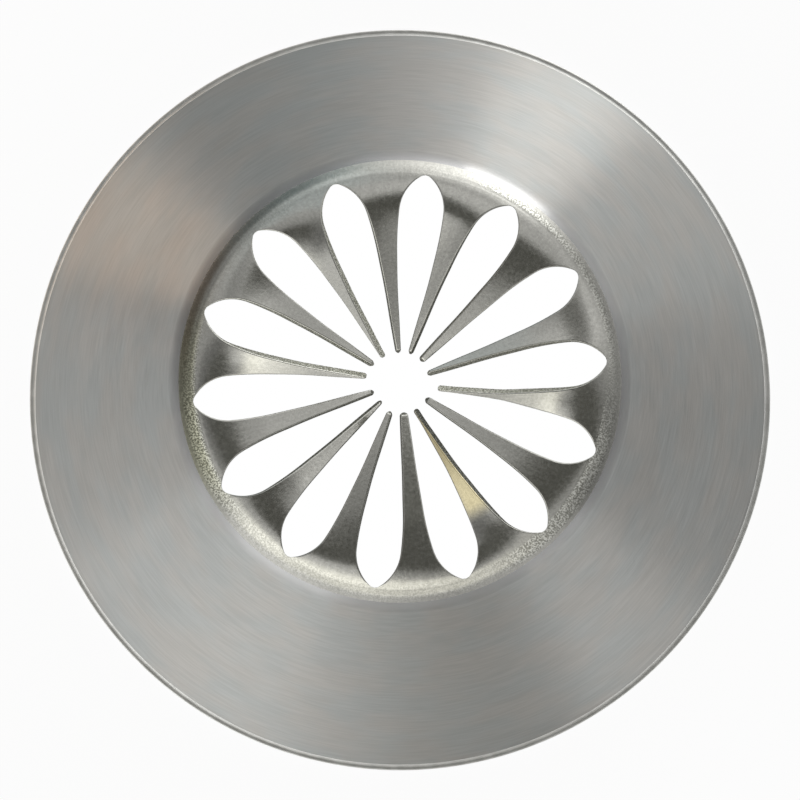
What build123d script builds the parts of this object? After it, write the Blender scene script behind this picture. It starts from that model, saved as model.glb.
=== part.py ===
from build123d import *
from math import asin, atan2, cos, degrees, hypot, radians, sin, sqrt, tan
import os

# A drawn sheet-steel piping nozzle: a plain cone with a small turned-out lip at its
# wide end, and a domed crown at its narrow end that is cut into a ring of teeth.
# The nozzle stands on its lip, with its axis on Z and its tip up. All lengths are in mm.

# Driving sizes of the whole nozzle
height = 52.0
base_diameter = 34.5
sheet = 0.40

# Driving sizes of the lip
lip_land = 0.13
lip_bend = 0.15

# Driving sizes of the crown's section
shoulder_land_inside = 0.06
shoulder_land_outside = 0.01
bend_radius = 1.40
ring_edge_tilt = 43.0
crest_radius = 2.80
shoulder_slope = 24.0
dish_slope = 9.0

# Driving sizes of the star, as seen along the axis
tooth_count = 14
first_petal_angle = 5.7
star_diameter = 17.0
petal_width = 1.80
tip_circle_diameter = 2.5
tip_gap = 0.32
petal_easing_share = 0.16

# How far a cutting outline runs past what it cuts
overrun = 2.0

# Angles of the star
pitch = 360 / tooth_count
half_pitch = pitch / 2

# Radii that the driving diameters give
base_r = base_diameter / 2
star_r = star_diameter / 2
tip_r = tip_circle_diameter / 2


def point_at(point, along, distance):
    """The point that lies a distance from another one, in the direction of a unit vector."""
    return (point[0] + distance * along[0], point[1] + distance * along[1])


# Crest: the highest ring of the crown, an arc that both slopes leave smoothly. It ends a
# short straight land inside the star's circle, where the teeth spring from the ring.
crest_r = star_r - shoulder_land_inside - crest_radius * sin(radians(shoulder_slope))
shoulder_down = (cos(radians(shoulder_slope)), -sin(radians(shoulder_slope)))
shoulder_normal = (sin(radians(shoulder_slope)), cos(radians(shoulder_slope)))
dish_normal = (-sin(radians(dish_slope)), cos(radians(dish_slope)))
crest_centre = (crest_r, height - crest_radius)
crest_outside = point_at(crest_centre, shoulder_normal, crest_radius)
crest_inside = point_at(crest_centre, dish_normal, crest_radius)
crest_outside_below = point_at(crest_outside, shoulder_normal, -sheet)
crest_inside_below = point_at(crest_inside, dish_normal, -sheet)


def shoulder_z(radius):
    """Height of the shoulder's upper face at a radius."""
    return crest_outside[1] - (radius - crest_outside[0]) * tan(radians(shoulder_slope))


def dish_z(radius):
    """Height of the teeth's upper face at a radius inside the crest."""
    return crest_inside[1] - (crest_inside[0] - radius) * tan(radians(dish_slope))


shoulder_drop = sheet / cos(radians(shoulder_slope))
dish_drop = sheet / cos(radians(dish_slope))

# Bend and lip: two arcs, which the cone's outer face touches from opposite sides. The
# bend starts far enough out for its lower face to begin outside the star's circle too.
bend_top_r = star_r + sheet * sin(radians(shoulder_slope)) + shoulder_land_outside
bend_top = (bend_top_r, shoulder_z(bend_top_r))
bend_centre = point_at(bend_top, shoulder_normal, -bend_radius)
lip_centre = (base_r - lip_land, sheet + lip_bend)
wall_run = lip_centre[0] - bend_centre[0]
wall_drop = bend_centre[1] - lip_centre[1]
cross_angle = asin((bend_radius + lip_bend) / hypot(wall_run, wall_drop))
cone_angle = atan2(wall_run, wall_drop) - cross_angle
wall_down = (sin(cone_angle), -cos(cone_angle))
wall_normal = (cos(cone_angle), sin(cone_angle))
bend_foot = point_at(bend_centre, wall_normal, bend_radius)
wall_foot = point_at(lip_centre, wall_normal, -lip_bend)
bend_top_inside = point_at(bend_top, shoulder_normal, -sheet)
bend_foot_inside = point_at(bend_foot, wall_normal, -sheet)
wall_foot_inside = point_at(wall_foot, wall_normal, -sheet)

# Ring edge: the place on the bend where the crown's finish ends and the cone's begins
ring_normal = (sin(radians(ring_edge_tilt)), cos(radians(ring_edge_tilt)))
ring_down = (cos(radians(ring_edge_tilt)), -sin(radians(ring_edge_tilt)))
ring_foot = point_at(bend_centre, ring_normal, bend_radius)
ring_foot_inside = point_at(ring_foot, ring_normal, -sheet)

# Petal: an equilateral pointed arch outside, then a slow easing and a straight taper
petal_spring_r = star_r - petal_width * sqrt(3) / 2
tip_half_width = tip_r * sin(radians(half_pitch)) - tip_gap / 2
tip_side_r = tip_r + tip_half_width
easing_reach = petal_easing_share * (petal_spring_r - tip_side_r)
taper_run = petal_spring_r - easing_reach - tip_side_r
taper_angle = degrees(atan2(petal_width / 2 - tip_gap / 2, taper_run))
easing_end_r = petal_spring_r - easing_reach - easing_reach * cos(radians(taper_angle))
easing_end_half = petal_width / 2 - easing_reach * sin(radians(taper_angle))


def tooth_side(radius, half_gap, side):
    """A point on a tooth's edge, told by the petal beside it, for the tooth on the X axis."""
    turned = Vector(radius, -half_gap).rotate(Axis.Z, half_pitch)
    return (turned.X, side * turned.Y)


def petal_direction(side):
    """The way out along the petal on one side of the tooth that lies on the X axis."""
    return (cos(radians(half_pitch)), side * sin(radians(half_pitch)))


# Base lip: the foot of the sheet, turned out to a narrow flat rim
with BuildPart() as base_lip:
    with BuildSketch(Plane.XZ):
        with BuildLine():
            TangentArc(wall_foot, (lip_centre[0], sheet), tangent=wall_down)
            Polyline(
                (lip_centre[0], sheet),
                (base_r, sheet),
                (base_r, 0),
                (lip_centre[0], 0),
            )
            TangentArc(wall_foot_inside, (lip_centre[0], 0), tangent=wall_down)
            Line(wall_foot, wall_foot_inside)
        make_face()
    revolve(axis=Axis.Z)
base_lip.part.label = "base_lip"

# Cone wall: the plain tapering side that the bag grips, and the lower half of the bend
with BuildPart() as cone_wall:
    with BuildSketch(Plane.XZ):
        with BuildLine():
            TangentArc(ring_foot, bend_foot, tangent=ring_down)
            Polyline(bend_foot, wall_foot, wall_foot_inside, bend_foot_inside)
            TangentArc(ring_foot_inside, bend_foot_inside, tangent=ring_down)
            Line(ring_foot_inside, ring_foot)
        make_face()
    revolve(axis=Axis.Z)
cone_wall.part.label = "cone_wall"

# Crown ring: the upper half of the bend and the strip of shoulder that carries the teeth
with BuildPart() as crown_ring:
    with BuildSketch(Plane.XZ):
        with BuildLine():
            Line((star_r, shoulder_z(star_r)), bend_top)
            TangentArc(bend_top, ring_foot, tangent=shoulder_down)
            Line(ring_foot, ring_foot_inside)
            TangentArc(bend_top_inside, ring_foot_inside, tangent=shoulder_down)
            Polyline(
                bend_top_inside,
                (star_r, shoulder_z(star_r) - shoulder_drop),
                (star_r, shoulder_z(star_r)),
            )
        make_face()
    revolve(axis=Axis.Z)
crown_ring.part.label = "crown_ring"


def make_tooth(number):
    """One tooth of the crown, from its root on the crown ring to its blunt tip."""
    turn = first_petal_angle + (number - 1 / 2) * pitch
    section_plane = Plane.XZ.rotated((0, 0, turn - half_pitch))
    outline_plane = Plane.XY.offset(height + overrun).rotated((0, 0, turn))
    section_end_r = tip_r / 2

    with BuildPart() as tooth:
        with BuildSketch(section_plane):
            with BuildLine():
                Line((star_r, shoulder_z(star_r)), crest_outside)
                TangentArc(crest_outside, crest_inside, tangent=(-shoulder_down[0], -shoulder_down[1]))
                Polyline(
                    crest_inside,
                    (section_end_r, dish_z(section_end_r)),
                    (section_end_r, dish_z(section_end_r) - dish_drop),
                    crest_inside_below,
                )
                TangentArc(
                    crest_outside_below,
                    crest_inside_below,
                    tangent=(-shoulder_down[0], -shoulder_down[1]),
                )
                Polyline(
                    crest_outside_below,
                    (star_r, shoulder_z(star_r) - shoulder_drop),
                    (star_r, shoulder_z(star_r)),
                )
            make_face()
        revolve(axis=Axis.Z, revolution_arc=pitch)
        with BuildSketch(outline_plane):
            with BuildLine():
                for side in (-1, 1):
                    spring = tooth_side(petal_spring_r, petal_width / 2, side)
                    easing_end = tooth_side(easing_end_r, easing_end_half, side)
                    out = petal_direction(side)
                    TangentArc(spring, tooth_side(star_r, 0, side), tangent=out)
                    TangentArc(spring, easing_end, tangent=(-out[0], -out[1]))
                    Line(easing_end, tooth_side(tip_side_r, tip_gap / 2, side))
                ThreePointArc(tooth_side(star_r, 0, -1), (star_r, 0), tooth_side(star_r, 0, 1))
                ThreePointArc(
                    tooth_side(tip_side_r, tip_gap / 2, -1),
                    (tip_r, 0),
                    tooth_side(tip_side_r, tip_gap / 2, 1),
                )
            make_face()
        extrude(amount=-height, mode=Mode.INTERSECT)
    tooth.part.label = f"tooth_{number:02d}"
    return tooth.part


teeth = [make_tooth(number) for number in range(1, tooth_count + 1)]

os.makedirs("parts", exist_ok=True)
export_step(base_lip.part, "parts/base_lip.step")
export_step(cone_wall.part, "parts/cone_wall.step")
export_step(crown_ring.part, "parts/crown_ring.step")
for tooth_part in teeth:
    export_step(tooth_part, f"parts/{tooth_part.label}.step")

print(f"cone half angle {degrees(cone_angle):.2f} degrees, taper of a petal {taper_angle:.2f} degrees")
print(f"crown outside diameter {2 * bend_foot[0]:.2f} mm")
print(f"tooth tips lie {height - dish_z(tip_r):.2f} mm below the crest")
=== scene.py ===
from math import acos, asin, atan2, cos, hypot, pi, radians, sin, sqrt, tan

import bpy
import numpy as np
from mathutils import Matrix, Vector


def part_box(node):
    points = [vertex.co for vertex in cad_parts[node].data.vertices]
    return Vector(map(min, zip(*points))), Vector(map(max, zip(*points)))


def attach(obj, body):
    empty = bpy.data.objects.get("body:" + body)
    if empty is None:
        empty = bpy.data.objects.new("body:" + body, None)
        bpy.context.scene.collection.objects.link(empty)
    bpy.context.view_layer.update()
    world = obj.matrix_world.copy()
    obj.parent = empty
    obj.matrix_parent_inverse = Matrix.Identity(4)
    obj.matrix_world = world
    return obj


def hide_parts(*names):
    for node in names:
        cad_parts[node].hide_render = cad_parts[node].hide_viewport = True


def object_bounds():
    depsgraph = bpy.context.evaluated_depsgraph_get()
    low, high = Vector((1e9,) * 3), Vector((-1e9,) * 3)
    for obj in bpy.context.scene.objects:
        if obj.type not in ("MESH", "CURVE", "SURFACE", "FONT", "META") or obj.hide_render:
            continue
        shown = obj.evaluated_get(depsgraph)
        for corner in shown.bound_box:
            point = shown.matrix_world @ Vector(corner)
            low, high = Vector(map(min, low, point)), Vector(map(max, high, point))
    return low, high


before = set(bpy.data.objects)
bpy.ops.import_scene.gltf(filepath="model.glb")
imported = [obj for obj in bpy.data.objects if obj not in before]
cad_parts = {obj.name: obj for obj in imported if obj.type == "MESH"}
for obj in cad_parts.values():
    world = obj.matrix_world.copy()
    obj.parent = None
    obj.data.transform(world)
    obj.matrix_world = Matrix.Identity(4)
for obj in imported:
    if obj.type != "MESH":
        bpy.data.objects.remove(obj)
cad_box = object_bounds()

MM = 0.001

# Sizes that the frame gives
base_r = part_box("base_lip")[1].x
height = cad_box[1].z

# Sizes of the sheet, the lip and the crown's section
sheet = 0.40 * MM
lip_land = 0.13 * MM
lip_bend = 0.15 * MM
rim_round = 0.07 * MM
shoulder_land_inside = 0.06 * MM
shoulder_land_outside = 0.01 * MM
bend_radius = 1.4 * MM
ring_edge_tilt = radians(43)
crest_radius = 2.8 * MM
shoulder_slope = radians(24)

# Sizes of the star
tooth_count = 14
first_petal_angle = radians(5.7)
star_r = 8.50 * MM
petal_width = 1.80 * MM
point_round = 0.30 * MM
tip_r = 1.25 * MM
tip_gap = 0.32 * MM
petal_easing_share = 0.16

# Each tooth as the photograph shows it, in the order of the nodes, anticlockwise from
# +X: twist at its tip in degrees (positive lifts the anticlockwise edge), side shift
# of its tip and change of its tip's radius in mm, the slope in degrees that it dips by
# inside the crest, over how many mm it takes up that slope, its lean from the root in
# degrees, and by how many mm each of its sides is drawn in towards the tip
tooth_shapes = [
    (-22, -0.07, -0.08, 4.7, 1.80, -2.0, -0.005),
    (9, 0.02, -0.04, 11.3, 1.40, 1.1, -0.015),
    (-13, 0.00, -0.02, 12.6, 0.20, 1.8, 0.025),
    (8, -0.05, -0.05, 13.0, 0.35, 1.1, 0.010),
    (-30, 0.06, -0.05, 3.0, 2.30, -2.0, 0.015),
    (18, 0.02, 0.04, 11.9, 3.10, -2.0, 0.015),
    (-34, -0.04, 0.16, 7.9, 4.00, -2.0, 0.045),
    (9, 0.04, -0.09, 13.0, 0.43, 3.5, 0.000),
    (-14, 0.03, -0.15, 14.0, 0.50, 3.4, 0.000),
    (8, 0.05, 0.06, 3.4, 2.90, 1.2, 0.025),
    (-7, 0.02, 0.05, 6.8, 4.00, -0.6, -0.020),
    (30, -0.06, 0.07, 3.1, 1.20, 2.3, 0.065),
    (-5, -0.03, 0.03, 10.6, 1.40, -2.0, 0.015),
    (34, -0.09, 0.36, 2.5, 4.00, -2.6, 0.120),
]

# A tooth's sides: drawn in fully inside slim_full_r, and a little hollow about hollow_r
slim_start_r = 6.2 * MM
slim_full_r = 4.0 * MM
hollow_r = 3.8 * MM
hollow_reach = 1.2 * MM
side_hollow = 0.026 * MM
slim_limit_share = 0.85
least_half_width = 0.03 * MM

# A tooth's lean: where it starts, and over what length the tooth takes it up
lean_start_r = 8.40 * MM
lean_reach = 0.25 * MM

# A tooth's rounded edges, which grow from the root over a reach, and its blunted tip
top_edge_round = 0.05 * MM
low_edge_round = 0.04 * MM
edge_round_reach = 0.5 * MM
edge_round_limit_share = 0.8
root_bow_reach = 1.2 * MM
blunt_reach = 0.13 * MM
blunt_share = 0.95

# How finely the meshes are stepped
columns_per_tooth = 36
lip_steps = 10
lip_outside_steps = 12
rim_steps = 6
bend_steps = 16
ring_lining_steps = 12
wall_steps = 40
point_steps = 30
side_steps = 60
rows_per_tooth = 96
across_steps = 18
round_steps = 5
sheet_steps = 4

# Depths of the finish's relief
hair_depth = 0.0012 * MM
cloud_depth = 0.0040 * MM
grain_depth = 0.0026 * MM
streak_depth = 0.0030 * MM
least_streak_depth = 0.0002 * MM
scratch_depth = 0.0006 * MM
bead_depth = 0.0090 * MM

# Zones of the finish: the radii between which one look changes into the next
cone_top_zone = (9.05 * MM, 9.60 * MM)
bead_start_r = 8.58 * MM
broad_bead_start_r = 8.28 * MM
bead_start_reach = 0.12 * MM
bead_end_zone = (8.84 * MM, 9.00 * MM)
band_start_zone = (8.48 * MM, 8.56 * MM)
band_end_zone = (8.68 * MM, 8.80 * MM)
olive_zone = (8.30 * MM, 8.60 * MM)
painted_bend_zone = (8.47 * MM, 8.62 * MM)
cut_end_r = 8.51 * MM
shoulder_zone = (6.2 * MM, 6.9 * MM)
straw_zone = (5.8 * MM, 6.6 * MM)
painted_highlight_zone = (5.5 * MM, 6.2 * MM)
ridge_zone = (3.0 * MM, 5.2 * MM)
tip_zone = (1.5 * MM, 3.8 * MM)

pitch = 2 * pi / tooth_count
half_pitch = pitch / 2
columns = tooth_count * columns_per_tooth


# Section of the sheet, in the plane of the axis: points are (radius, height)

def step(point, along, distance):
    return (point[0] + distance * along[0], point[1] + distance * along[1])


def direction(angle):
    return (cos(angle), sin(angle))


crest_r = star_r - shoulder_land_inside - crest_radius * sin(shoulder_slope)
crest_centre = (crest_r, height - crest_radius)
shoulder_normal = direction(pi / 2 - shoulder_slope)
crest_outside = step(crest_centre, shoulder_normal, crest_radius)


def crown_z(radius):
    """Height of the crown's upper face at a radius, from the crest outwards."""
    if radius > crest_outside[0]:
        return crest_outside[1] - (radius - crest_outside[0]) * tan(shoulder_slope)
    return crest_centre[1] + sqrt(crest_radius ** 2 - max(radius - crest_r, 0) ** 2)


def crown_drop(radius):
    """Depth of the sheet, measured straight down, at a radius of the crown."""
    return sheet / cos(min(shoulder_slope, asin(max((radius - crest_r) / crest_radius, 0))))


# Bend and lip: two arcs, which the cone's outer face touches from opposite sides
bend_top_r = star_r + sheet * sin(shoulder_slope) + shoulder_land_outside
bend_top = (bend_top_r, crown_z(bend_top_r))
bend_centre = step(bend_top, shoulder_normal, -bend_radius)
lip_centre = (base_r - lip_land, sheet + lip_bend)
wall_run = lip_centre[0] - bend_centre[0]
wall_drop = bend_centre[1] - lip_centre[1]
cone_angle = atan2(wall_run, wall_drop) - asin((bend_radius + lip_bend) / hypot(wall_run, wall_drop))
wall_normal = direction(cone_angle)
wall_down = (sin(cone_angle), -cos(cone_angle))
bend_foot = step(bend_centre, wall_normal, bend_radius)
wall_foot = step(lip_centre, wall_normal, -lip_bend)
wall_foot_inside = step(wall_foot, wall_normal, -sheet)
ring_turn = pi / 2 - ring_edge_tilt
ring_normal = direction(ring_turn)
ring_foot = step(bend_centre, ring_normal, bend_radius)
ring_foot_inside = step(ring_foot, ring_normal, -sheet)


# Meshes are made of patches: grids of points, each with the normal that it shades by

def opposite(way):
    return (-way[0], -way[1])


def line(start, end, normal, count=1):
    """A straight stretch of section: its points and their normals."""
    run = (end[0] - start[0], end[1] - start[1])
    return [step(start, run, i / count) for i in range(count + 1)], [normal] * (count + 1)


def arc(centre, radius, start, end, count, outward=1):
    """A round stretch of section, from one angle to another."""
    turns = [start + (end - start) * i / count for i in range(count + 1)]
    points = [step(centre, direction(t), radius) for t in turns]
    normals = [(outward * cos(t), outward * sin(t)) for t in turns]
    return points, normals


def joined(*stretches):
    """Stretches that run into each other smoothly, as one."""
    points, normals = list(stretches[0][0]), list(stretches[0][1])
    for more_points, more_normals in stretches[1:]:
        points += more_points[1:]
        normals += more_normals[1:]
    return points, normals


def turned(stretch):
    """A patch: a stretch of section, turned about the axis."""
    points, normals = np.array(stretch[0]), np.array(stretch[1])
    angles = first_petal_angle + 2 * pi * np.arange(columns + 1) / columns
    ring = np.stack([np.cos(angles), np.sin(angles)], axis=1)
    grid = np.zeros((len(points), columns + 1, 3))
    shade = np.zeros_like(grid)
    grid[:, :, :2] = points[:, None, :1] * ring[None]
    grid[:, :, 2] = points[:, None, 1]
    shade[:, :, :2] = normals[:, None, :1] * ring[None]
    shade[:, :, 2] = normals[:, None, 1]
    return grid, shade


def sloped(grid):
    """The normals of a patch that closes round its columns, worked out from its points."""
    along = np.gradient(grid, axis=0)
    wide = np.concatenate([grid[:, -2:-1], grid, grid[:, 1:2]], axis=1)
    shade = np.cross(along, (wide[:, 2:] - wide[:, :-2]) / 2)
    length = np.linalg.norm(shade, axis=2, keepdims=True)
    return shade / np.maximum(length, 1e-30)


def make_piece(name, patches, material):
    """One mesh from patches, with shared edges welded and the patches' own normals."""
    weld_distance = 1e-5 * MM
    numbers, points, faces, normals = {}, [], [], []

    def number(point):
        key = tuple(np.round(point / weld_distance).astype(np.int64))
        if key not in numbers:
            numbers[key] = len(points)
            points.append(tuple(point))
        return numbers[key]

    for grid, shade in patches:
        rows, cols = grid.shape[:2]
        ids = [[number(grid[i, j]) for j in range(cols)] for i in range(rows)]
        for i in range(rows - 1):
            for j in range(cols - 1):
                corners = [(i, j), (i + 1, j), (i + 1, j + 1), (i, j + 1)]
                face, kept = [], []
                for a, b in corners:
                    if ids[a][b] not in face:
                        face.append(ids[a][b])
                        kept.append((a, b))
                if len(face) < 3:
                    continue
                a, b, c = (np.array(points[k]) for k in face[:3])
                if np.dot(np.cross(b - a, c - a), shade[kept[0]]) < 0:
                    face.reverse()
                    kept.reverse()
                faces.append(face)
                normals.extend(tuple(shade[k]) for k in kept)
    mesh = bpy.data.meshes.new(name)
    mesh.from_pydata(points, [], faces)
    mesh.polygons.foreach_set("use_smooth", [True] * len(faces))
    mesh.normals_split_custom_set(normals)
    mesh.materials.append(material)
    piece = bpy.data.objects.new(name, mesh)
    bpy.context.scene.collection.objects.link(piece)
    return piece


def dress(piece, node):
    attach(piece, "root")
    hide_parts(node)


# Node trees

class Tree:
    """Short calls for a node tree: values go in as numbers or as other nodes' outputs."""

    def __init__(self, owner):
        owner.use_nodes = True
        self.tree = owner.node_tree
        self.tree.nodes.clear()

    def node(self, kind, values=(), **settings):
        made = self.tree.nodes.new(kind)
        for name, value in settings.items():
            setattr(made, name, value)
        for key, value in dict(values).items():
            if isinstance(value, bpy.types.NodeSocket):
                self.tree.links.new(value, made.inputs[key])
            else:
                made.inputs[key].default_value = value
        return made

    def math(self, operation, a, b=0.0, c=0.0):
        return self.node("ShaderNodeMath", {0: a, 1: b, 2: c}, operation=operation).outputs[0]

    def product(self, a, b):
        return self.math("MULTIPLY", a, b)

    def vector(self, x, y, z):
        return self.node("ShaderNodeCombineXYZ", {0: x, 1: y, 2: z}).outputs[0]

    def vector_math(self, operation, a, b):
        return self.node("ShaderNodeVectorMath", {0: a, 1: b}, operation=operation).outputs[0]

    def parts(self, vector):
        return self.node("ShaderNodeSeparateXYZ", {0: vector}).outputs

    def span(self, value, low, high, to_low=0.0, to_high=1.0):
        """A smooth change from one value to another, where the first one lies in a range."""
        values = {"Value": value, 1: low, 2: high, 3: to_low, 4: to_high}
        return self.node("ShaderNodeMapRange", values, interpolation_type="SMOOTHSTEP").outputs[0]

    def outside(self, radius, zone):
        """0 up to a zone's first radius, and 1 from its second one on."""
        return self.span(radius, *zone)

    def inside(self, radius, zone):
        """1 up to a zone's first radius, and 0 from its second one on."""
        return self.span(radius, *zone, 1.0, 0.0)

    def mix(self, factor, a, b, blend="MIX"):
        values = {0: factor, 6: a, 7: b}
        return self.node("ShaderNodeMix", values, data_type="RGBA", blend_type=blend).outputs[2]

    def tint(self, factor, color, tone):
        """A colour, multiplied by a tone as far as the factor says."""
        return self.mix(factor, color, tone, "MULTIPLY")

    def noise(self, vector, scale, detail=2.0, roughness=0.5):
        values = {"Vector": vector, "Scale": scale, "Detail": detail, "Roughness": roughness}
        return self.node("ShaderNodeTexNoise", values).outputs["Fac"]

    def drawn_noise(self, angle, per_radian, reach, per_metre, detail):
        """Noise that is drawn out: patches per radian about the axis, and per metre of reach."""
        way = self.vector(self.math("COSINE", angle), self.math("SINE", angle), 0.0)
        spread = self.vector_math("MULTIPLY", way, (per_radian, per_radian, per_radian))
        lift = self.vector(0.0, 0.0, self.product(reach, per_metre))
        return self.noise(self.vector_math("ADD", spread, lift), 1.0, detail)

    def place(self):
        """A point's place in the object's own coordinates."""
        return self.node("ShaderNodeTexCoord").outputs["Object"]

    def about_axis(self, place):
        """Radius, angle and height of a place about the nozzle's axis."""
        x, y, z = self.parts(place)
        radius = self.math("SQRT", self.math("MULTIPLY_ADD", y, y, self.product(x, x)))
        return radius, self.math("ARCTAN2", y, x), z

    def turn(self, angle):
        """An angle about the axis as a share of a full turn that starts at -X."""
        return self.math("MULTIPLY_ADD", angle, 1 / (2 * pi), 0.5)

    def ramp(self, turn, stops):
        """A value or colour that follows the angle about the axis, from stops in degrees."""
        made = self.node("ShaderNodeValToRGB", {0: turn})
        made.color_ramp.interpolation = "EASE"
        elements = made.color_ramp.elements
        while len(elements) < len(stops):
            elements.new(0.5)
        for element, (degree, tone) in zip(elements, stops):
            element.position = (degree + 180) / 360
            element.color = (*tone, 1) if isinstance(tone, tuple) else (tone, tone, tone, 1)
        return made.outputs[0]

    def facing(self):
        """How far a surface faces up: 1 for a level one, 0 for an upright one."""
        return self.parts(self.node("ShaderNodeNewGeometry").outputs["Normal"])[2]

    def bump(self, relief):
        return self.node("ShaderNodeBump", {"Strength": 1.0, "Distance": 1.0, "Height": relief}).outputs[0]

    def metal(self, values):
        shader = self.node("ShaderNodeBsdfPrincipled", {"Metallic": 1.0, **values})
        self.node("ShaderNodeOutputMaterial", {0: shader.outputs[0]})


def brushed_cone():
    """Turned finish: hairlines round the axis, drawn-out highlights up and down the slope."""
    material = bpy.data.materials.new("brushed_cone")
    t = Tree(material)
    radius, angle, z = t.about_axis(t.place())
    hairs = t.drawn_noise(angle, 9.0, z, 2600.0, 3.0)
    rings = t.drawn_noise(angle, 3.0, z, 800.0, 2.0)
    clouds = t.drawn_noise(angle, 3.0, z, 90.0, 3.0)
    tints = t.drawn_noise(angle, 4.5, z, 130.0, 2.0)

    brushing = t.span(t.math("MULTIPLY_ADD", rings, 0.35, t.product(hairs, 0.65)), 0.35, 0.65)
    warm = t.mix(brushing, (0.373, 0.364, 0.345, 1), (0.437, 0.426, 0.404, 1))
    cool = t.mix(brushing, (0.352, 0.361, 0.352, 1), (0.412, 0.422, 0.412, 1))
    color = t.mix(t.span(tints, 0.35, 0.65), cool, warm)
    turn = t.turn(angle)
    # Painted reflection: near the bend the colour is made lighter or darker by heading, standing in for the
    # surroundings that the bend reflects.
    cone_bend_painted_light = t.ramp(turn, [
        (-180, 0.44), (-168, 0.56), (-150, 0.62), (-135, 0.58), (-110, 0.58), (-60, 0.60), (-40, 0.68),
        (-15, 0.60), (45, 0.58), (56, 0.51), (98, 0.51), (118, 0.56), (138, 0.42), (150, 0.38),
        (168, 0.38), (180, 0.44),
    ])
    color = t.mix(t.span(radius, *cone_top_zone, 0.85, 0.0), color, cone_bend_painted_light)

    polish = t.ramp(turn, [
        (-180, 0.0), (-150, 0.0), (-132, 0.4), (-112, 0.3), (-95, 0.0), (36, 0.0), (56, 1.0), (98, 1.0),
        (114, 0.0), (180, 0.0),
    ])
    smoother = t.product(polish, t.span(radius, *cone_top_zone, 0.5, 0.0))
    rough = t.math("MULTIPLY_ADD", clouds, 0.08, t.span(rings, 0.3, 0.7, 0.43, 0.47))
    t.metal({
        "Base Color": color,
        "Roughness": t.product(rough, t.math("SUBTRACT", 1.0, smoother)),
        "Anisotropic": 0.98,
        "Anisotropic Rotation": 0.25,
        "Normal": t.bump(t.math("MULTIPLY_ADD", hairs, hair_depth, t.product(clouds, cloud_depth))),
        "Tangent": t.node("ShaderNodeTangent", direction_type="RADIAL", axis="Z").outputs[0],
    })
    return material


def rolled_lip():
    """The foot's rolled edge: the same steel, lighter and without hairlines, with a painted highlight on
    its upright faces.
    """
    material = bpy.data.materials.new("rolled_lip")
    t = Tree(material)
    wear = t.span(t.noise(t.place(), 1800.0, 3.0), 0.3, 0.7)
    level = t.mix(wear, (0.48, 0.48, 0.46, 1), (0.58, 0.58, 0.56, 1))
    t.metal({
        # Painted highlight: faces that stand upright, round the rim, are coloured near white.
        "Base Color": t.mix(t.span(t.facing(), 0.3, 0.95, 1.0, 0.0), level, (0.86, 0.86, 0.84, 1)),
        "Roughness": 0.6,
    })
    return material


def beading(t, radius, turn):
    """Where the bend is stretched into beads and carries painted glints, from 0 to 1. The band is narrow at
    the upper right.
    """
    strength = t.ramp(turn, [
        (-180, 0.6), (-170, 1.0), (-152, 0.9), (-138, 0.25), (-65, 0.15), (-50, 0.8), (-20, 0.7),
        (0, 0.2), (18, 0.5), (62, 0.7), (70, 0.1), (150, 0.05), (180, 0.6),
    ])
    broad = t.ramp(turn, [(-180, 1.0), (-8, 1.0), (10, 0.0), (70, 0.0), (90, 1.0), (180, 1.0)])
    start_r = t.math("MULTIPLY_ADD", broad, broad_bead_start_r - bead_start_r, bead_start_r)
    started = t.span(t.math("SUBTRACT", radius, start_r), 0.0, bead_start_reach)
    return t.product(t.product(started, t.inside(radius, bead_end_zone)), strength)


def band_tints_and_painted_light(t, color, radius, turn):
    """The tones of the bend's band, which differ all round the crown: an olive tint on one side, and
    painted light and shade by heading.
    """
    olive = t.ramp(turn, [(-180, 0.8), (-160, 0.8), (-140, 0.0), (150, 0.0), (175, 0.8), (180, 0.8)])
    color = t.tint(t.product(olive, t.outside(radius, olive_zone)), color, (1.0, 1.0, 0.80, 1))
    # Painted light and shade: the bend is made lighter or darker by heading, where its reflection of the
    # surroundings would be lighter or darker.
    painted_band_light = t.ramp(turn, [
        (-180, 0.60), (-165, 0.70), (-150, 0.78), (-135, 0.98), (-110, 0.93), (-90, 1.22), (-75, 1.40),
        (-60, 1.08), (-45, 0.98), (-30, 0.66), (-15, 0.80), (0, 1.0), (15, 0.87), (30, 0.82), (45, 1.0),
        (75, 1.0), (90, 1.25), (105, 1.50), (120, 1.15), (135, 0.80), (150, 0.60), (165, 0.51), (180, 0.58),
    ])
    color = t.tint(t.outside(radius, painted_bend_zone), color, painted_band_light)
    # Painted highlight and shade on the narrow band at the bend's top: bright at the upper right, dark at
    # the bottom.
    band_painted_light = t.ramp(turn, [
        (-180, 1.0), (-128, 1.0), (-118, 0.84), (-105, 0.80), (-92, 0.62), (-75, 0.64), (-62, 1.0),
        (45, 1.0), (56, 1.45), (78, 1.45), (90, 1.1), (100, 1.0), (180, 1.0),
    ])
    at_band = t.product(t.outside(radius, band_start_zone), t.inside(radius, band_end_zone))
    return t.tint(at_band, color, band_painted_light)


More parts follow.
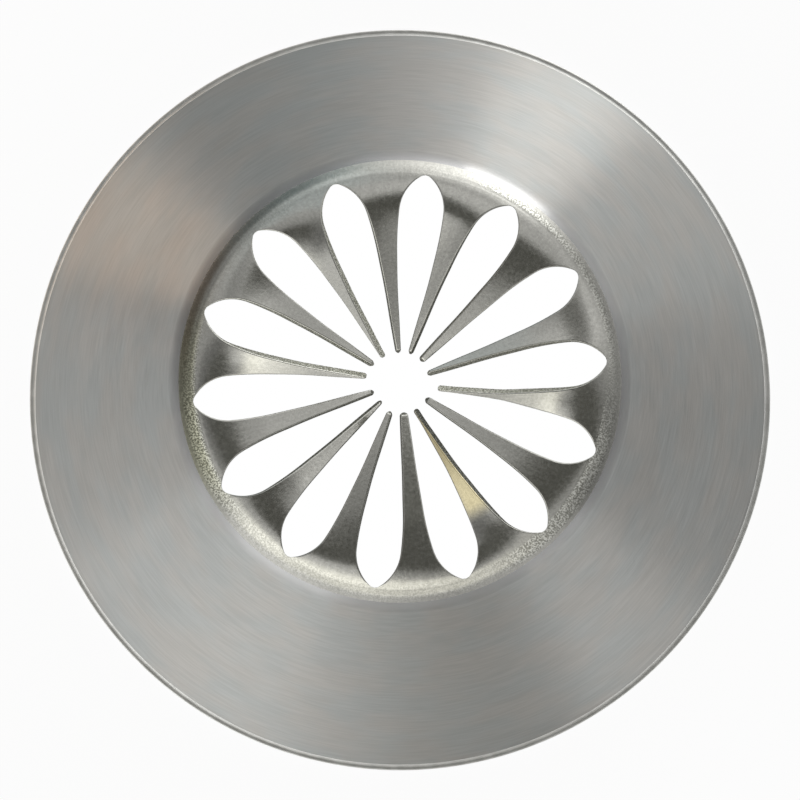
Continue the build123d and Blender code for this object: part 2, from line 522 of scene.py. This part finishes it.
def tooth_tints_and_painted_light(t, color, radius, turn):
    """The teeth: one of them straw-coloured, some given painted highlights on their inner parts, and all
    lighter towards their tips.
    """
    straw = t.ramp(turn, [(-180, 0.0), (-66, 0.0), (-61, 1.0), (-56, 1.0), (-51, 0.0), (180, 0.0)])
    # One tooth's straw tint, with a painted highlight: brighter still in a band part way along it.
    straw_tint_and_highlight = t.mix(t.outside(radius, ridge_zone), (1.16, 1.02, 0.68, 1), (1.75, 1.57, 1.08, 1))
    color = t.tint(t.product(straw, t.inside(radius, straw_zone)), color, straw_tint_and_highlight)
    # Painted highlights: the inner parts of some teeth are made lighter, chosen by heading.
    painted_tooth_highlights = t.ramp(turn, [
        (-180, 1.25), (-172, 1.1), (-150, 1.1), (-142, 1.45), (-128, 1.45), (-121, 1.1), (-98, 1.1),
        (-92, 1.25), (-78, 1.25), (-70, 1.0), (100, 1.0), (110, 1.1), (158, 1.0), (163, 1.25), (180, 1.25),
    ])
    color = t.tint(t.inside(radius, painted_highlight_zone), color, painted_tooth_highlights)
    return t.tint(t.inside(radius, tip_zone), color, (1.16, 1.16, 1.16, 1))


def cut_steel(t, place, turn):
    """The colour of the teeth's cut faces: speckled, with painted shade on some sides of the star."""
    specks = t.span(t.noise(place, 14000.0, 2.0), 0.38, 0.62)
    # Painted shade: the cut faces are made darker on some headings.
    tone = t.ramp(turn, [
        (-180, 1.0), (-165, 0.7), (-80, 0.55), (-30, 0.6), (-12, 1.0), (5, 0.9), (30, 0.65), (95, 0.7),
        (112, 1.0), (180, 1.0),
    ])
    return t.tint(1.0, t.mix(specks, (0.50, 0.50, 0.42, 1), (1.0, 1.0, 0.92, 1)), tone)


def crown_steel():
    """Pressed steel: grainy where the bend stretched it, radial drawing marks on the shoulder."""
    material = bpy.data.materials.new("crown_steel")
    t = Tree(material)
    place = t.place()
    radius, angle = t.about_axis(place)[:2]
    turn = t.turn(angle)
    grain = t.noise(place, 7000.0, 3.0, 0.6)
    beads = t.drawn_noise(angle, 130.0, radius, 15000.0, 1.0)
    scratches = t.drawn_noise(angle, 420.0, radius, 260.0, 2.0)
    streaks = t.drawn_noise(angle, 60.0, radius, 900.0, 3.0)
    bead_and_glint_share = beading(t, radius, turn)
    cut = t.product(t.span(t.facing(), 0.60, 0.80, 1.0, 0.0), t.math("LESS_THAN", radius, cut_end_r))

    streaked = t.ramp(turn, [
        (-180, 0.5), (-120, 1.0), (-60, 1.0), (-30, 0.5), (0, 0.05), (150, 0.05), (180, 0.5),
    ])
    streak_share = t.product(t.outside(radius, shoulder_zone), streaked)
    streaks_deep = t.math("MULTIPLY_ADD", streak_share, streak_depth, least_streak_depth)
    relief = t.math("MULTIPLY_ADD", streaks, streaks_deep, t.product(grain, grain_depth))
    relief = t.math("MULTIPLY_ADD", beads, t.product(bead_and_glint_share, bead_depth), relief)
    relief = t.math("MULTIPLY_ADD", scratches, scratch_depth, relief)

    specks = t.math("MULTIPLY_ADD", t.noise(place, 9000.0, 2.0, 0.7), 0.7, t.product(streaks, 0.3))
    color = t.mix(t.span(specks, 0.3, 0.7), (0.46, 0.455, 0.42, 1), (0.56, 0.555, 0.515, 1))
    # Painted glints: the beads are coloured as near-white sparkles and dark specks, not only given relief.
    painted_bead_glints = t.mix(t.span(beads, 0.38, 0.64), (0.24, 0.24, 0.20, 1), (0.96, 0.96, 0.89, 1))
    color = t.mix(t.product(bead_and_glint_share, 0.85), color, painted_bead_glints)
    color = tooth_tints_and_painted_light(t, band_tints_and_painted_light(t, color, radius, turn), radius, turn)
    t.metal({
        "Base Color": t.mix(cut, color, cut_steel(t, place, turn)),
        "Roughness": t.math("MAXIMUM", t.span(grain, 0.3, 0.7, 0.18, 0.26), t.product(cut, 0.7)),
        "Normal": t.bump(relief),
    })
    return material


cone_finish = brushed_cone()
lip_finish = rolled_lip()
crown_finish = crown_steel()


# Base lip, cone and crown ring: turned about the axis

def make_lip():
    land_end = base_r - rim_round
    skin = joined(
        arc(lip_centre, lip_bend, pi + cone_angle, 1.5 * pi, lip_steps, -1),
        line((lip_centre[0], sheet), (land_end, sheet), (0, 1)),
        arc((land_end, sheet - rim_round), rim_round, pi / 2, 0, rim_steps),
        line((base_r, sheet - rim_round), (base_r, rim_round), (1, 0)),
        arc((land_end, rim_round), rim_round, 0, -pi / 2, rim_steps),
        line((land_end, 0), (lip_centre[0], 0), (0, -1)),
        arc(lip_centre, lip_bend + sheet, 1.5 * pi, pi + cone_angle, lip_outside_steps),
    )
    seam = line(wall_foot, wall_foot_inside, opposite(wall_down))
    return make_piece("nozzle_base_lip", [turned(skin), turned(seam)], lip_finish)


def make_wall():
    bend_foot_inside = step(bend_foot, wall_normal, -sheet)
    skin = joined(
        arc(bend_centre, bend_radius, ring_turn, cone_angle, bend_steps),
        line(bend_foot, wall_foot, wall_normal, wall_steps),
    )
    lining = joined(
        arc(bend_centre, bend_radius - sheet, ring_turn, cone_angle, bend_steps, -1),
        line(bend_foot_inside, wall_foot_inside, opposite(wall_normal), wall_steps),
    )
    return make_piece("nozzle_cone_wall", [
        turned(skin),
        turned(lining),
        turned(line(wall_foot, wall_foot_inside, wall_down)),
        turned(line(ring_foot, ring_foot_inside, (-ring_normal[1], ring_normal[0]))),
    ], cone_finish)


def make_ring():
    star_edge = (star_r, crown_z(star_r))
    star_below = (star_r, crown_z(star_r) - crown_drop(star_r))
    bend_top_inside = step(bend_top, shoulder_normal, -sheet)
    bend_start = pi / 2 - shoulder_slope
    skin = joined(
        line(star_edge, bend_top, shoulder_normal, 2),
        arc(bend_centre, bend_radius, bend_start, ring_turn, bend_steps),
    )
    lining = joined(
        line(star_below, bend_top_inside, opposite(shoulder_normal)),
        arc(bend_centre, bend_radius - sheet, bend_start, ring_turn, ring_lining_steps, -1),
    )
    return make_piece("nozzle_crown_ring", [
        turned(skin),
        turned(lining),
        turned(line(ring_foot, ring_foot_inside, (ring_normal[1], -ring_normal[0]))),
        turned(line(star_edge, star_below, (-1, 0))),
    ], crown_finish)


# Teeth: a tube of cross-sections, run from the root to the tip and then bent

def petal_side(radius, half_gap):
    """A point of a petal's edge, seen from the tooth beside it, which lies on X."""
    return np.array([
        radius * cos(half_pitch) + half_gap * sin(half_pitch),
        radius * sin(half_pitch) - half_gap * cos(half_pitch),
    ])


def tip_half_width(tip_radius):
    return tip_radius * sin(half_pitch) - tip_gap / 2


def shares(count):
    return [i / count for i in range(count)]


def tooth_edge(tip_radius):
    """The tooth's edge on its anticlockwise side, from the petal's point to the tip."""
    point_turn = acos(petal_width / (2 * (petal_width - point_round)))
    round_end = (petal_width - point_round) * sin(point_turn)
    spring_r = star_r - point_round - round_end
    side_r = tip_radius + tip_half_width(tip_radius)
    reach = petal_easing_share * (spring_r - side_r)
    taper = atan2(petal_width / 2 - tip_gap / 2, spring_r - reach - side_r)
    easing_radius = reach / tan(taper / 2)
    points = []
    for share in shares(point_steps):
        turn = (pi / 2 - point_turn) * share
        points.append(petal_side(spring_r + round_end + point_round * cos(turn), point_round * sin(turn)))
    for share in shares(side_steps):
        turn = point_turn * (1 - share)
        points.append(petal_side(spring_r + petal_width * sin(turn), petal_width * (cos(turn) - 0.5)))
    for share in shares(side_steps):
        drop = easing_radius * (1 - cos(taper * share))
        points.append(petal_side(spring_r - easing_radius * sin(taper * share), petal_width / 2 - drop))
    start = petal_side(spring_r - reach - reach * cos(taper), petal_width / 2 - reach * sin(taper))
    end = petal_side(side_r, tip_gap / 2)
    points += [start + (end - start) * share for share in shares(side_steps)]

    # The tip is a round cap, left open at its very end, where a flat face closes it
    cap_share = 0.9
    lean = atan2(start[1] - end[1], start[0] - end[0])
    cap_radius = end[1] / cos(lean)
    cap_middle = end[0] + cap_radius * sin(lean)
    for share in [*shares(side_steps), 1]:
        turn = lean + (pi / 2 - lean) * cap_share * share
        points.append(np.array([cap_middle - cap_radius * sin(turn), cap_radius * cos(turn)]))
    return evenly_read(np.array(points))


def evenly_read(points):
    """The same edge as one point for each row of a tooth, closer together at both ends."""
    crowding = 0.85
    length = np.concatenate([[0], np.cumsum(np.linalg.norm(np.diff(points, axis=0), axis=1))])
    share = np.linspace(0, 1, rows_per_tooth)
    wanted = (share - crowding * np.sin(2 * pi * share) / (2 * pi)) * length[-1]
    return np.stack([np.interp(wanted, length, points[:, k]) for k in (0, 1)], axis=1)


def eased(value, low, high):
    share = np.clip((value - low) / (high - low), 0, 1)
    return share * share * (3 - 2 * share)


def flat_tooth(edge, turn):
    """A tooth before it is bent: rings of (out, across, depth) round its section, one for each
    point of its edge. Each is narrowed so that, once twisted by its turn, it fills its outline."""
    tangent = np.gradient(edge, axis=0)
    tangent /= np.linalg.norm(tangent, axis=1, keepdims=True)
    inward = np.stack([-tangent[:, 1], tangent[:, 0]], axis=1)
    narrowed = (edge[:, 1] - sheet / 2 * np.abs(np.sin(turn))) / np.cos(turn)
    narrowed = np.maximum(narrowed, np.minimum(edge[:, 1], least_half_width))
    slimmer = edge[:, 1] - narrowed
    grow = np.clip(np.linalg.norm(edge - edge[0], axis=1) / edge_round_reach, 0, 1) ** 2
    top_round = np.minimum(top_edge_round * grow, edge_round_limit_share * narrowed)
    low_round = np.minimum(low_edge_round * grow, edge_round_limit_share * narrowed)
    root_bow = (1 - np.clip((edge[0, 0] - edge[:, 0]) / root_bow_reach, 0, 1)) ** 2
    blunting = np.clip(1 - (edge[:, 0] - edge[-1, 0]) / blunt_reach, 0, 1)
    thinning = np.sqrt(1 - blunt_share * blunting ** 2)
    across = [sin(half_pitch * k / across_steps) / sin(half_pitch) for k in range(across_steps + 1)]
    quarter = [k / round_steps * pi / 2 for k in range(round_steps + 1)]

    def ring_point(i, side, inset, depth, share=1.0):
        x, y = edge[i] + inward[i] * inset
        y = max(y - slimmer[i], 0.0) * share
        bow = sqrt(star_r ** 2 - y ** 2) - sqrt(star_r ** 2 - edge[i, 1] ** 2)
        return x + bow * root_bow[i], side * y, sheet / 2 + (depth - sheet / 2) * thinning[i]

    def half_ring(i, side):
        """Half of a section, from the middle of its upper face to the middle of its lower one."""
        top, low = top_round[i], low_round[i]
        half = [ring_point(i, side, top, 0, share) for share in across]
        half += [ring_point(i, side, top * (1 - sin(t)), top * (1 - cos(t))) for t in quarter[1:]]
        for k in range(1, sheet_steps):
            half.append(ring_point(i, side, 0, top + (sheet - top - low) * k / sheet_steps))
        half += [ring_point(i, side, low * (1 - cos(t)), sheet - low * (1 - sin(t))) for t in quarter]
        half += [ring_point(i, side, low, sheet, share) for share in across[-2::-1]]
        return half

    return np.array([half_ring(i, -1) + half_ring(i, 1)[-2::-1] for i in range(len(edge))])


def dip(radius, start_r, angle, reach):
    """How far a tooth has gone down where it takes up a slope over a reach."""
    inside = np.maximum(start_r - radius, 0)
    return tan(radians(angle)) * (inside - reach * (1 - np.exp(-inside / reach)))


def make_tooth(number):
    twist, side_shift, tip_change, slope, easing, lean, drawn_in = tooth_shapes[number - 1]
    tip_radius = tip_r + tip_change * MM
    edge = tooth_edge(tip_radius)
    slimming = drawn_in * MM * (1 - eased(edge[:, 0], slim_full_r, slim_start_r))
    slimming += side_hollow * np.exp(-((edge[:, 0] - hollow_r) / hollow_reach) ** 2)
    widest = np.maximum(edge[:, 1], tip_half_width(tip_radius))
    edge[:, 1] *= 1 - np.minimum(slimming / widest, slim_limit_share)
    tip_x = edge[-1, 0]

    def along(x):
        """The share of the way from the root to the tip."""
        return (star_r - x) / (star_r - tip_x)

    def twist_at(x):
        """Most of the twist is taken up near the root, and the rest on the way to the tip."""
        return radians(twist) * (0.8 * eased(along(x), 0.02, 0.45) + 0.2 * eased(along(x), 0.3, 1.0))

    def top_z(radius):
        bent = dip(radius, crest_r, slope, easing * MM) + dip(radius, lean_start_r, lean, lean_reach)
        return np.vectorize(crown_z)(radius) - bent

    local = flat_tooth(edge, twist_at(edge[:, 0]))
    x, y, depth = local[:, :, 0], local[:, :, 1], local[:, :, 2]
    radius = np.minimum(np.hypot(x, y), star_r)
    centre_z = top_z(np.clip(x, tip_x, star_r)) - sheet / 2
    rise = top_z(radius) - depth * np.vectorize(crown_drop)(radius) / sheet - centre_z
    angle = twist_at(x)
    shift = side_shift * MM * np.clip(along(x), 0, 1) ** 2
    bent_y = y * np.cos(angle) - rise * np.sin(angle) + shift
    bent_z = centre_z + y * np.sin(angle) + rise * np.cos(angle)

    heading = first_petal_angle + (number - 0.5) * pitch
    body = np.stack([
        x * cos(heading) - bent_y * sin(heading),
        x * sin(heading) + bent_y * cos(heading),
        bent_z,
    ], axis=2)
    shade = sloped(body)
    if shade[len(shade) // 2, 0, 2] < 0:
        shade = -shade
    root_top = np.flatnonzero(depth[0] == 0)
    root_way = body[0, root_top, :2] / np.linalg.norm(body[0, root_top, :2], axis=1, keepdims=True)
    shade[0, root_top, :2] = shoulder_normal[0] * root_way
    shade[0, root_top, 2] = shoulder_normal[1]

    def end_face(row, outward):
        """The flat face that closes the tube at its first or last row."""
        half = body.shape[1] // 2
        face = np.stack([body[row, :half + 1], body[row, ::-1][:half + 1]])
        return face, np.broadcast_to((outward * cos(heading), outward * sin(heading), 0), face.shape)

    patches = [(body, shade), end_face(0, 1), end_face(-1, -1)]
    return make_piece(f"nozzle_tooth_{number:02d}", patches, crown_finish)


dress(make_lip(), "base_lip")
dress(make_wall(), "cone_wall")
dress(make_ring(), "crown_ring")
for tooth_number in range(1, tooth_count + 1):
    dress(make_tooth(tooth_number), f"tooth_{tooth_number:02d}")


# Floor and surroundings

def floor_material():
    """Pale floor: white to the camera, dimmer in some reflections, still taking a soft shadow."""
    material = bpy.data.materials.new("pale_floor")
    t = Tree(material)
    radius, angle = t.about_axis(t.place())[:2]
    path = t.node("ShaderNodeLightPath").outputs
    sheen = t.ramp(t.turn(angle), [
        (-180, 1.0), (-104, 1.0), (-84, 0.34), (-68, 0.25), (-54, 1.0), (80, 1.0), (102, 0.46), (125, 0.35),
        (138, 1.0), (180, 1.0),
    ])
    seen = t.math("MAXIMUM", path["Is Camera Ray"], t.product(path["Is Glossy Ray"], sheen))
    seen = t.math("MAXIMUM", seen, path["Is Transmission Ray"])
    under_foot = t.span(radius, base_r - 1.0 * MM, base_r - 0.6 * MM, 1.0, 0.94)
    matt = t.node("ShaderNodeBsdfDiffuse", {"Color": (0.88, 0.88, 0.88, 1)}).outputs[0]
    glow = t.node("ShaderNodeEmission", {"Color": (1, 1, 1, 1), "Strength": 1.0}).outputs[0]
    mixed = t.node("ShaderNodeMixShader", {0: t.product(seen, under_foot), 1: matt, 2: glow})
    t.node("ShaderNodeOutputMaterial", {0: mixed.outputs[0]})
    return material


def make_floor():
    half = 1.5
    corners = [(-half, -half, 0), (half, -half, 0), (half, half, 0), (-half, half, 0)]
    mesh = bpy.data.meshes.new("floor")
    mesh.from_pydata(corners, [], [(0, 1, 2, 3)])
    mesh.materials.append(floor_material())
    floor = bpy.data.objects.new("floor", mesh)
    bpy.context.scene.collection.objects.link(floor)


def make_world():
    """A pale studio: soft walls that differ with the direction, and a dark patch overhead."""
    low_to_high = (sin(radians(27)), sin(radians(46)))
    high_to_upper = (sin(radians(49)), sin(radians(55)))
    patch_x, patch_y = 0.166, -0.077
    patch_half_width, patch_half_depth = 0.491, 0.300

    world = bpy.data.worlds.new("studio")
    bpy.context.scene.world = world
    t = Tree(world)
    x, y, z = t.parts(t.node("ShaderNodeTexCoord").outputs["Generated"])
    turn = t.turn(t.math("ARCTAN2", y, x))
    low = t.ramp(turn, [
        (-180, 0.26), (-165, 0.38), (-150, 0.68), (-135, 1.05), (-120, 1.12), (-105, 0.84), (-90, 0.52),
        (-75, 0.32), (-60, 0.56), (-45, 0.58), (-30, 0.37), (-15, 0.31), (0, 0.30), (15, 0.42),
        (30, 0.50), (45, 0.76), (57, 2.80), (70, 2.30), (90, 0.90), (105, (0.31, 0.355, 0.365)),
        (120, (0.17, 0.205, 0.215)), (135, (0.20, 0.22, 0.22)), (150, (0.25, 0.21, 0.18)),
        (165, (0.26, 0.23, 0.21)), (180, 0.27),
    ])
    high = t.ramp(turn, [
        (-180, 0.40), (-165, 0.99), (-150, 0.66), (-135, (1.90, 1.89, 1.80)), (-120, (1.65, 1.64, 1.55)),
        (-105, (1.90, 1.88, 1.77)), (-75, (1.45, 1.43, 1.34)), (-60, (0.98, 0.97, 0.92)), (-45, 0.59),
        (-33, 0.45), (-20, 0.79), (-7, 0.27), (0, 0.32), (15, 0.97), (45, 0.57), (90, 0.51),
        (105, (0.70, 0.75, 0.77)), (120, (0.60, 0.65, 0.67)), (150, 0.61), (180, 0.40),
    ])
    upper = t.ramp(turn, [
        (-180, 0.18), (-161, 0.22), (-136, 0.63), (-110, 0.94), (-84, 0.32), (-59, 0.56), (-33, 0.48),
        (-7, 0.40), (19, 0.41), (44, 0.61), (70, 0.85), (96, 0.73), (121, 0.54), (147, 0.36), (180, 0.18),
    ])
    color = t.mix(t.span(z, *low_to_high), low, high)
    color = t.mix(t.span(z, *high_to_upper), color, upper)
    wide = t.math("DIVIDE", t.math("SUBTRACT", x, patch_x), patch_half_width)
    deep = t.math("DIVIDE", t.math("SUBTRACT", y, patch_y), patch_half_depth)
    spread = t.math("MULTIPLY_ADD", wide, wide, t.product(deep, deep))
    dark = t.product(t.span(spread, 1.0, 1.4, 1.0, 0.0), t.math("GREATER_THAN", z, 0.0))
    color = t.mix(dark, color, (0.11, 0.11, 0.10, 1))
    background = t.node("ShaderNodeBackground", {"Color": color, "Strength": 1.0})
    t.node("ShaderNodeOutputWorld", {0: background.outputs[0]})


# Low softboxes: heading and half angle in degrees, radiance (1 is white) and tone
lamps = {
    "lamp_upper_right": (61, 12, 3.3, (1.0, 1.0, 0.98)),
    "lamp_upper_left": (148, 11, 2.6, (1.0, 0.71, 0.49)),
    "lamp_left": (188, 24, 1.0, (1.0, 1.0, 0.98)),
    "lamp_lower_left": (229, 23, 1.6, (1.0, 1.0, 1.0)),
    "lamp_lower_right": (315, 12, 1.4, (1.0, 1.0, 1.0)),
    "lamp_right": (31, 14, 1.0, (1.0, 0.99, 0.96)),
}


def make_lamp(name, heading, half_angle, radiance, tone):
    """A low softbox that stands on the floor and faces the nozzle."""
    distance, low_edge, high_edge = 110 * MM, 2 * MM, 40 * MM
    width, depth = 2 * distance * tan(radians(half_angle)), high_edge - low_edge
    light = bpy.data.lights.new(name, "AREA")
    light.shape = "RECTANGLE"
    light.size = width
    light.size_y = depth
    light.color = tone
    light.energy = radiance * pi * width * depth
    lamp = bpy.data.objects.new(name, light)
    heading = radians(heading)
    lamp.location = (distance * cos(heading), distance * sin(heading), (low_edge + high_edge) / 2)
    lamp.rotation_euler = (pi / 2, 0, heading + pi / 2)
    lamp.visible_camera = False
    bpy.context.scene.collection.objects.link(lamp)


def make_camera():
    """The photograph's view: straight down on the tip, from a little on the -Y side."""
    distance = 418 * MM
    focal_pixels = 8966
    picture_pixels = 800
    lean = radians(0.85)
    data = bpy.data.cameras.new("camera")
    data.sensor_width = 36
    data.lens = focal_pixels * data.sensor_width / picture_pixels
    data.clip_start = 0.01
    data.clip_end = 10
    camera = bpy.data.objects.new("camera", data)
    camera.location = (0, -distance * sin(lean), distance * cos(lean))
    camera.rotation_euler = (lean, 0, 0)
    bpy.context.scene.collection.objects.link(camera)
    bpy.context.scene.camera = camera


make_floor()
make_world()
for lamp_name, settings in lamps.items():
    make_lamp(lamp_name, *settings)
make_camera()

bpy.context.scene.view_settings.view_transform = "Standard"
